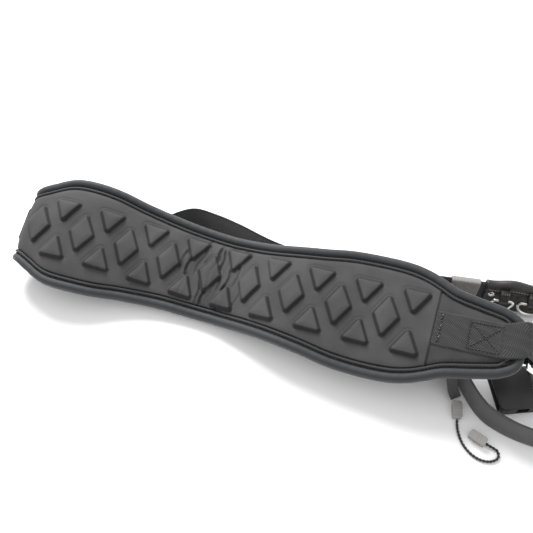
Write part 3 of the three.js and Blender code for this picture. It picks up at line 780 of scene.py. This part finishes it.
def skin_round_pad(name, path, across, height, nodes=()):
    """Carries a section, given as across and height, along a closed path on the pad."""
    along = flow(path, closed=True)
    outward = np.stack([-along[:, 1], along[:, 0]], axis=1)
    s = path[:, 0:1] + across * outward[:, 0:1]
    v = path[:, 1:2] + across * outward[:, 1:2]
    return skin(name, pad_points(s, v, height), True, BINDING, "root", "binding", nodes)


def rolled_edge():
    path = pad_outline(BINDING_WIDTH / 2, 4.0)
    across, up = np.array(ROLL_SECTION).T
    station = np.arange(len(path))[:, None]
    pucker = 1 + 0.03 * np.sin(station * 2.1) + 0.02 * np.sin(station * 0.37)
    height = BINDING_MIDDLE + up * BINDING_HEIGHT * np.where(up > 0, pucker, 1)
    return skin_round_pad("rolled_edge", path, across * BINDING_WIDTH, height, ("edge_binding",))


roll = rolled_edge()
roll.modifiers.new("round", "SUBSURF").levels = 1
roll.modifiers["round"].render_levels = 1



# %% [markdown]
# Inside the rolled edge runs a narrow flat tape that covers the seam, held by a row of dark
# stitches along each side. The two rows sink into the foam and draw the two black lines.
# %% Seam tape
FLAT_TAPE = [(-1.25, -0.5), (-1.05, 0.35), (-0.5, 0.75), (0.5, 0.75), (1.05, 0.35), (1.25, -0.5)]
skin_round_pad("seam_tape", pad_outline(BINDING_WIDTH + 2.6, 4.0), *np.array(FLAT_TAPE).T)
for side, inset, sunk in (("outer", 0.8, -1.3), ("inner", 4.4, -1.2)):
    seam_on_pad(f"edge_seam_{side}", pad_outline(BINDING_WIDTH + inset, 4.0), sunk, 3.4, 0.6,
                DARK_THREAD, 0.3)
for side, sign, end in (("right", 1, 44), ("left", -1, 37)):
    row = [(sign * (PANEL_END - 1.6), v) for v in np.linspace(-end, end, 23)]
    seam_on_pad(f"panel_end_seam_{side}", row, 0.9, 3.2, 0.8, DARK_THREAD, 0.28)


# %% [markdown]
# Each end tab is one length of coarse webbing sewn on the face, taken over the tip, round the
# steel loop and back under the pad. The weave is close enough to see, so the right tab's ribs are
# real.
# %% End tabs
TAB_SIDE_VIEWS = {
    "right": (1, [[252, 1.9], [290, 1.7], [316, 1.6], [325, 2.4], [343, 2.6], [347.5, 1.8],
                  [351.5, -1.5], [355, -8], [358.6, -15], [359.6, -22.5], [355.5, -27],
                  [349.6, -26.4], [346, -21], [341, -18.5], [330, -18.3], [315, -17.8],
                  [296, -17.6]]),
    "left": (-1, [[256, 1.6], [290, 1.6], [316, 1.6], [325, 2.4], [343, 2.6], [347.5, 1.8],
                  [351.5, -0.8], [356, -2.4], [362, -3.6], [366.4, -5], [367.2, -7.8],
                  [366.4, -10.6], [362, -12], [356, -13], [350, -15.4], [343, -17.5],
                  [330, -17], [315, -17], [296, -17]]),
}
WEB_WIDTH = 38


def tab_shift(s):
    return 0.4 + 6.6 * smoothstep(s, 322, 352)


def coarse_ribs(travelled, a):
    """Basket weave: ribs across that swap height from one warp thread to the next."""
    warp = np.sin(a * 2 * math.pi / 2.9)
    weft = np.sin(travelled * 2 * math.pi / 2.3 + np.where(warp > 0, 0, math.pi) + a * 0.3)
    return 0.26 * weft + 0.08 * np.abs(warp)


def end_tab(side, steps, columns, ripple):
    sign, view = TAB_SIDE_VIEWS[side]
    shape = curve([[s, t, 0] for s, t in view], steps)
    points = pad_points(sign * shape[:, 0], tab_shift(shape[:, 0]), shape[:, 1])
    across = pad_frame(sign * shape[:, 0])[1]
    tape(f"sewn_tab_{side}", points, across, WEB_WIDTH, 1.8, TAB_WEBBING, "root", "webbing",
         (f"tab_{side}",), columns, ripple=ripple)


end_tab("right", 420, 75, coarse_ribs)
end_tab("left", 200, 40, None)


# %% [markdown]
# A load-bearing tab is sewn down with a boxed cross, and its end with a dense bar of zigzag
# stitches. Each row is given in the pad's own measures, so it follows the bend of the board.
# %% Tab stitching
TAB_TOP = 2.9


def sew_rows(name, rows, pitch, material, radius=0.45):
    """Straight rows of stitches on the right tab, each from (s, v) to (s, v)."""
    starts, ends = [], []
    for (s0, v0), (s1, v1) in rows:
        length = math.hypot(s1 - s0, v1 - v0)
        count = max(int(length / pitch), 1)
        for i in range(count):
            f0, f1 = (i + 0.08) / count, (i + 0.82) / count
            starts.append((s0 + (s1 - s0) * f0, v0 + (v1 - v0) * f0))
            ends.append((s0 + (s1 - s0) * f1, v0 + (v1 - v0) * f1))
    starts, ends = np.array(starts), np.array(ends)
    normals = pad_frame(starts[:, 0])[2]
    stitches(name, pad_points(starts[:, 0], starts[:, 1], TAB_TOP),
             pad_points(ends[:, 0], ends[:, 1], TAB_TOP), normals, material, "root", "webbing",
             radius, 0.4)


def zigzag(s, width, low, high, pitch):
    rows = []
    v, way = low, 1
    while v < high:
        rows.append(((s - way * width / 2, v), (s + way * width / 2, v + pitch)))
        v += pitch
        way = -way
    return rows


BOX_START, BOX_END, BOX_HALF = 288, 322, 14.5
box = [((BOX_START, -BOX_HALF), (BOX_END, -BOX_HALF)), ((BOX_START, BOX_HALF), (BOX_END, BOX_HALF)),
       ((BOX_START, -BOX_HALF), (BOX_END, BOX_HALF)), ((BOX_START, BOX_HALF), (BOX_END, -BOX_HALF))]
sew_rows("tab_box_stitching", box, 3.6, DARK_THREAD, 0.6)
for column in (BOX_START, BOX_END):
    sew_rows(f"tab_zigzag_{column}", zigzag(column, 3.2, -BOX_HALF, BOX_HALF, 2.4), 4.4,
             DARK_THREAD)
sew_rows("tab_bartack", zigzag(258, 5.0, -15, 16, 3.1), 3.0, DARK_THREAD, 0.7)
sew_rows("tab_bartack_bright", zigzag(258.6, 3.0, -12, 14, 6.3)[::2], 7, PALE_THREAD, 0.26)


# %% [markdown]
# The waist strap is one length of webbing. It starts on the left loop, twists on to its edge,
# runs behind the pad, turns round the buckle's bar, and comes back as a tail in front of the
# pad. The route is the same row of points that the CAD solid follows, only finer.
# %% Strap helpers
RUN_ORIGIN = (257, 90)
RUN_TURN = math.radians(9)
STRAP_Z = 20.9
FREE_Z = 19.2
LAYER = 2.4
BUCKLE_AT = 172


def on_run(u, w, z):
    """A point of the straight run: u along it, w to its rear, z up."""
    return (RUN_ORIGIN[0] + u * math.cos(RUN_TURN) - w * math.sin(RUN_TURN),
            RUN_ORIGIN[1] + u * math.sin(RUN_TURN) + w * math.cos(RUN_TURN), z)


def run_points(u, w, z):
    """The same for matching arrays, as one row of points."""
    return np.stack(np.broadcast_arrays(*on_run(u, w, z)), axis=-1)


RUN_ALONG = np.array([math.cos(RUN_TURN), math.sin(RUN_TURN), 0])
RUN_REAR = np.array([-math.sin(RUN_TURN), math.cos(RUN_TURN), 0])
UP = np.array([0.0, 0.0, 1.0])
LOOP_REACH = 27
AROUND_BAR = [(24, 1.2), (17, 1.4), (8, 3.4), (0, 4), (-4.6, 2.6), (-5.8, 0), (-4.6, -2.6),
              (0, -4), (8, -3.2), (17, -1.5)]
LOOP_PLACES = {"right": (1, 353, -20, math.radians(55)), "left": (-1, 362, -7.8, math.radians(-6))}


def loop_frame(side_name):
    """Corner, reach, side and upright of a steel loop, as the tab holds it."""
    sign, s, t, lean = LOOP_PLACES[side_name]
    centre, side, out = (k[0] for k in pad_frame(np.array([sign * s])))
    along = np.cross(side, out) * sign
    reach = along * math.cos(lean) - out * math.sin(lean)
    corner = pad_points(np.array([sign * s]), tab_shift(np.array([s])), np.array([t]))[0]
    return corner, reach, side, unit(np.cross(reach, side))


def round_the_bar(side_name):
    corner, reach, side, upright = loop_frame(side_name)
    return [tuple(corner + reach * (LOOP_REACH + x) + upright * z) for x, z in AROUND_BAR]


# %% [markdown]
# The strap's route is the list of places it passes, in order: the left loop, behind the pad, the
# doubled run with the buckle at its end, and the tail. It stands on edge, except at the left loop.
# %% Waist strap
def strap_route():
    half = LAYER / 2
    behind = [(-124, 27, 14.5), (-116, 42, 18.9), (-107, 57, FREE_Z), (-98, 71, FREE_Z),
              (-87, 84, FREE_Z), (-70, 95, FREE_Z), (-38, 94, FREE_Z), (-7, 88.5, FREE_Z),
              (43, 76.5, FREE_Z), (100, 71.5, FREE_Z), (160, 75.5, FREE_Z + 0.6),
              on_run(-50, half, STRAP_Z - 0.3), on_run(-34, half, STRAP_Z)]
    climb = [(60, half, 0), (118, half, 0), (130, half, 1.6), (146, half, 1.8),
             (BUCKLE_AT - 10, half + 1.2, 3), (BUCKLE_AT, 3.9, 3.2)]
    doubled = [on_run(u, w, STRAP_Z + up) for u, w, up in climb]
    doubled.append(on_run(BUCKLE_AT + 5, 0, STRAP_Z + 3.2))
    doubled += [on_run(u, -w, STRAP_Z + up) for u, w, up in reversed(climb)]
    doubled.append(on_run(-34, -half, STRAP_Z))
    tail = [(205, 73, STRAP_Z)] + [(x, y, FREE_Z) for x, y in
            [(192, 58), (196, 42), (224, 26), (262, 4), (287, -18), (302, -37), (313, -49.5),
             (325, -58.5), (343, -65), (362, -68.5), (390, -69), (425, -62)]]
    return curve(round_the_bar("left") + behind + doubled + tail, 1000)


STRAP_ROUTE = strap_route()
left_side = pad_frame(np.array([-HALF_LENGTH]))[1][0]
turned = np.maximum(smoothstep(STRAP_ROUTE[:, 1], 20, 54), smoothstep(STRAP_ROUTE[:, 0], -96, -90))
strap_across = left_side * (1 - turned[:, None]) + UP * turned[:, None]
tape("webbing_strap", STRAP_ROUTE, strap_across, WEB_WIDTH, 1.8, WEBBING, "root", "webbing",
     ("waist_strap",), 15)


# %% [markdown]
# On the right a short strap goes from the steel loop down to the buckle's socket and back on
# itself, and a narrow stub of the same webbing under the pad's edge holds the little cord.
# %% Buckle strap and cord stub
SOCKET_CENTRE = np.array([355.5, -10.7, 6.7])
SOCKET_TURN = math.radians(24)
SOCKET_ALONG = np.array([math.cos(SOCKET_TURN), math.sin(SOCKET_TURN), 0])
SOCKET_ACROSS = np.array([-math.sin(SOCKET_TURN), math.cos(SOCKET_TURN), 0])
SOCKET_BAR = 22.25


def buckle_strap_route():
    past = [(32, -0.5), (20, -1.4), (9, -3), (1, -3.7), (-3.6, -2.8), (-5, 0), (-3.6, 2.8),
            (1, 3.7), (9, 1.4), (20, 1.2)]
    hung = [(389, 13, 18.6), (400, 14, 17.4), (409, 15, 14.6), (412.5, 15.4, 10)]
    at_bar = [tuple(SOCKET_CENTRE + SOCKET_ALONG * (SOCKET_BAR + x) + UP * z) for x, z in past]
    return curve(round_the_bar("right") + hung + at_bar, 300)


buckle_route = buckle_strap_route()
level = smoothstep(buckle_route[:, 0], 376, 404)
level[len(level) // 2 + 1:] = 1
right_side = pad_frame(np.array([353]))[1][0]
tape("webbing_to_socket", buckle_route,
     right_side * (1 - level[:, None]) + SOCKET_ACROSS * level[:, None], WEB_WIDTH, 1.8, WEBBING,
     "root", "webbing", ("buckle_strap",), 15)

stub_route = curve([(277, -32, 44), (280, -35, 33), (284, -38.5, 20), (288.5, -41.5, 11),
                    (291, -43.2, 7.6)], 50)
tape("webbing_stub", stub_route, (0.94, 0.33, 0), 12, 1.6, WEBBING, "root", "webbing",
     ("cord_stub",), 11)


# %% [markdown]
# A wide band of pale ribbed elastic keeps the two layers of strap together. The ribs are knitted
# in, so the band is a closed tape whose thickness waves along the strap.
# %% Ribbed keeper
KEEPER_LENGTH = 33
KEEPER_DEPTH, KEEPER_LOW, KEEPER_HIGH = 3.6, 0.9, 41.2


def keeper_outline():
    d, low, high = KEEPER_DEPTH, KEEPER_LOW, KEEPER_HIGH
    up = [low + 1.5, low + 2.6, low + 9, 21, high - 9, high - 2.6, high - 1.5]
    front = [(-d, z) for z in up] + [(-d + 0.45, high - 0.45), (-d + 1.5, high)]
    rear = [(d, z) for z in reversed(up)] + [(d - 0.45, low + 0.45), (d - 1.5, low)]
    top = [(d - 1.5, high), (d - 0.45, high - 0.45)]
    under = [(-d + 1.5, low), (-d + 0.45, low + 0.45)]
    return [on_run(KEEPER_LENGTH / 2, w, z) for w, z in front + top + rear + under]


def knitted_ribs(travelled, a):
    return 0.26 * np.cos(a * 2 * math.pi / 1.65) - 0.05


tape("ribbed_keeper", curve(keeper_outline(), 110, closed=True), RUN_ALONG, KEEPER_LENGTH, 1.3,
     ELASTIC, "keeper", "elastic", ("elastic_keeper",), 121, closed=True, ripple=knitted_ribs)


# %% [markdown]
# The hanger is one piece of leather folded over the strap. Leather this thick keeps soft waves
# along its fold, has a rolled bead where the front is turned, and shows its pale stitches.
# %% Leather hanger
HANGER_AT, HANGER_LENGTH = 40, 82
FLAP = [(-6.2, 2), (-5.9, 10), (-5.5, 22), (-5.4, 36), (-4, 42.5), (0, 45), (4, 42.5),
        (5.4, 36), (5.6, 22), (6.4, 10), (7.4, 2)]


def wavy(u, z):
    """How far the fold rises and falls along the hanger."""
    return (2.3 * np.sin((u - 58.5) * 2 * math.pi / 50) - 0.85) * smoothstep(z, 30, 45)


def leather_skin():
    line = curve([(0, w, z) for w, z in FLAP], 90)
    normal = np.cross((1.0, 0, 0), flow(line))
    along = np.linspace(HANGER_AT, HANGER_AT + HANGER_LENGTH, 96)
    edge = np.clip(np.minimum(along - along[0], along[-1] - along) / 1.4, 0, 1)
    half = 1.5 * np.sqrt(np.clip(1 - (1 - edge) ** 2, 0.06, 1))
    u = np.concatenate([along, along[::-1]])
    thick = np.concatenate([half, -half[::-1]])
    w = line[:, None, 1] + normal[:, None, 1] * thick[None, :]
    z = line[:, None, 2] + normal[:, None, 2] * thick[None, :]
    z = z + wavy(u[None, :], z)
    w = w + 0.5 * np.sin(u[None, :] * 0.16 + 1) * (1 - smoothstep(z, 6, 26)) * np.sign(w)
    skin("leather_fold", run_points(u, w, z), False, HIDE, "root", "leather",
         ("leather_hanger",))


leather_skin()


# %% [markdown]
# Wire and piping are circles carried along a row of points, and the flap's seams are rows of
# stitches laid on its front, so two small functions make them all.
# %% Rods, turned parts and seams on the run
def circles(points, side, normal, radius, sides):
    """A circle of points round each point of a row."""
    angle = np.linspace(0, 2 * math.pi, sides, endpoint=False)[:, None]
    spoke = side[:, None] * np.cos(angle) + normal[:, None] * np.sin(angle)
    return points[:, None] + radius * spoke


def rod(name, points, radius, material, body, slot, nodes=(), sides=12, closed=False):
    """A round bar along a row of points in belt millimetres."""
    rough = np.array([0.3, 0.2, 0.93])
    along, side, normal = frames_along(points, rough, closed)
    rings = circles(points, side, normal, radius, sides)
    skin(name, rings, closed, material, body, slot, nodes)


def run_seam(name, u0, u1, w, z, pitch, material, radius=0.4, wave=0.0):
    """A straight row of stitches on the front of the run."""
    u = np.arange(u0, u1 - pitch, pitch)
    lift = wavy(u, z) * wave
    starts = run_points(u, w, z + lift)
    ends = run_points(u + pitch * 0.66, w, z + lift)
    stitches(name, starts, ends, np.broadcast_to(-RUN_REAR, starts.shape), material, "root",
             "leather", radius, 0.3)


run_seam("hanger_seam_upper", 43, 119, -7.0, 38.6, 3.3, PALE_THREAD, 0.42, 1.0)
run_seam("hanger_seam_lower", 43, 119, -7.3, 5.0, 3.3, PALE_THREAD, 0.4)
bead_u = np.linspace(HANGER_AT + 0.5, HANGER_AT + HANGER_LENGTH - 0.5, 60)
bead = run_points(bead_u, -7.1, 35.6 + wavy(bead_u, 35.6))
rod("hanger_bead", bead, 0.85, HIDE, "root", "leather", sides=10)


# %% [markdown]
# Each ring hangs in a small chape, a leather tongue sewn to the flap and turned round the wire.
# %% Chapes, rings and rivets
CHAPE_LOW = 27
CHAPE_LINE = [(-8.3, 40), (-8.3, 33), (-9.4, CHAPE_LOW + 2.6), (-11.2, CHAPE_LOW - 2.5),
              (-13.6, CHAPE_LOW - 3), (-15.6, CHAPE_LOW), (-14.2, CHAPE_LOW + 3.6),
              (-11.2, 34.4), (-10.4, 40)]
RINGS = {"hammer_ring": (62, 24, 17, 10.5), "tool_ring": (96, 32, 20, 14)}
PIVOT_W = -12.8


def ring_outline(u, width, drop):
    half, corner = width / 2, 3
    bar = half - corner
    outline = [(u + x, 0, 0) for x in (-bar, -bar + 2, -bar / 2, 0, bar / 2, bar - 2, bar)]
    for degrees in range(0, 181, 15):
        r = math.radians(degrees)
        outline.append((u + half * math.cos(r), 0, -corner - (drop - corner) * math.sin(r)))
    line = curve(outline, 96, closed=True)
    return run_points(line[:, 0], PIVOT_W, line[:, 2] + CHAPE_LOW)


for name, (u, width, drop, chape_width) in RINGS.items():
    rod(f"{name}_wire", ring_outline(u, width, drop), 1.7, NICKEL, name, "steel", (name,), 16,
        closed=True)
    folded = curve([(0, w, z) for w, z in CHAPE_LINE], 60)
    tape(f"{name}_tongue", run_points(u, folded[:, 1], folded[:, 2]), RUN_ALONG, chape_width,
         1.6, HIDE, "root", "leather", (f"{name}_chape",), 17)
    for z in (37.2, 38.9):
        run_seam(f"{name}_tongue_seam_{z:.0f}", u - chape_width / 2 + 1, u + chape_width / 2 + 1,
                 -11.3, z, 2.6, PALE_THREAD, 0.34)


RIVET_W = -7.7


def domed_rivet(name, u, z, nodes):
    profile = [(4.2, 0.0), (4.25, 0.35), (3.95, 0.7), (3.5, 0.75), (3.2, 1.35), (2.4, 1.85),
               (1.4, 2.05), (0.5, 2.1)]
    radius, height = np.array(profile).T[:, :, None]
    angle = np.linspace(0, 2 * math.pi, 28, endpoint=False)
    rings = run_points(u + radius * np.cos(angle), RIVET_W - height, z + radius * np.sin(angle))
    skin(name, rings, False, NICKEL, "root", "steel", nodes)


for i, u in enumerate((HANGER_AT + 8, HANGER_AT + HANGER_LENGTH - 8), 1):
    domed_rivet(f"rivet_dome_{i}", u, 30, (f"hanger_rivet_{i}",))


# %% [markdown]
# The hard parts are stamped steel and moulded plastic. Their solids already have the right shape
# but knife-sharp corners, so each gets a copy with merged faces and a small rounded edge, as any
# moulding has.
# %% Moulded and stamped parts
def rounded_copy(node, material, body, slot, radius, name):
    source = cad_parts[node]
    shape = bmesh.new()
    shape.from_mesh(source.data)
    shape.transform(source.matrix_world)
    bmesh.ops.remove_doubles(shape, verts=shape.verts, dist=2e-6)
    bmesh.ops.dissolve_limit(shape, angle_limit=math.radians(2), verts=shape.verts,
                             edges=shape.edges)
    mesh = bpy.data.meshes.new(name)
    shape.to_mesh(mesh)
    shape.free()
    piece = place(name, mesh, material, body, slot, (node,))
    soften = piece.modifiers.new("rounded_edges", "BEVEL")
    soften.width = radius * MM
    soften.segments = 3
    soften.limit_method = "ANGLE"
    soften.angle_limit = math.radians(32)
    soften.harden_normals = True
    print(name, "rounded by", radius, "mm")


for part in (("loop_right", NICKEL, "root", "steel", 0.8, "steel_loop_right"),
             ("loop_left", NICKEL, "root", "steel", 0.8, "steel_loop_left"),
             ("strap_slider", ACETAL, "slider", "black_plastic", 0.7, "moulded_slide"),
             ("buckle_male", ACETAL, "root", "black_plastic", 0.6, "buckle_base"),
             ("prong_upper", ACETAL, "upper_prong", "black_plastic", 0.6, "sprung_prong_upper"),
             ("prong_lower", ACETAL, "lower_prong", "black_plastic", 0.6, "sprung_prong_lower"),
             ("buckle_female", ACETAL, "root", "black_plastic", 0.7, "buckle_socket_shell"),
             ("cord_end_a", GREY_MOULDING, "root", "grey_plastic", 0.4, "moulded_end_a"),
             ("cord_end_b", GREY_MOULDING, "root", "grey_plastic", 0.4, "moulded_end_b")):
    rounded_copy(*part)


# %% [markdown]
# The short cord is two strands laid together. Each strand winds round the other as it follows
# the cord's route, which runs from one moulded end, round on the surface, to the other.
# %% Two-strand cord
CORD_ROUTE = [(297.2, -66.2, 3.4), (298.6, -73, 2.4), (302, -82, 2.1), (308, -91.5, 2.1),
              (317, -99, 2.1), (328, -102.6, 2.1), (338.5, -101, 2.1), (345.2, -94.6, 2.1),
              (343.6, -87.6, 2.3), (336.6, -85.4, 3.2), (330.6, -84.2, 4.4)]
CORD_DIAMETER = 3.2
STRAND = 0.86
TWIST_PITCH = 7.5


def twisted_cord_piece():
    line = curve(CORD_ROUTE, 260)
    along, side, normal = frames_along(line, UP)
    travelled = length_along(line)
    sides = 10
    offset = CORD_DIAMETER / 2 - STRAND
    verts, faces = [], []
    for strand in range(2):
        turn = (travelled * 2 * math.pi / TWIST_PITCH + strand * math.pi)[:, None]
        middle = line + offset * (side * np.cos(turn) + normal * np.sin(turn))
        verts.append(metres(circles(middle, side, normal, STRAND, sides).reshape(-1, 3)))
        base = strand * len(verts[0])
        faces += [tuple(base + k for k in f) for f in ring_faces(len(line), sides, False)]
    piece = new_piece("two_strand_cord", np.vstack(verts), faces, CORD, "root", "cord",
                      ("short_cord",))
    return piece, metres(line[::8].tolist() + [line[-1].tolist()]), travelled[-1]


cord_piece, cord_path, cord_length = twisted_cord_piece()
print(f"cord is {cord_length:.1f} mm long")
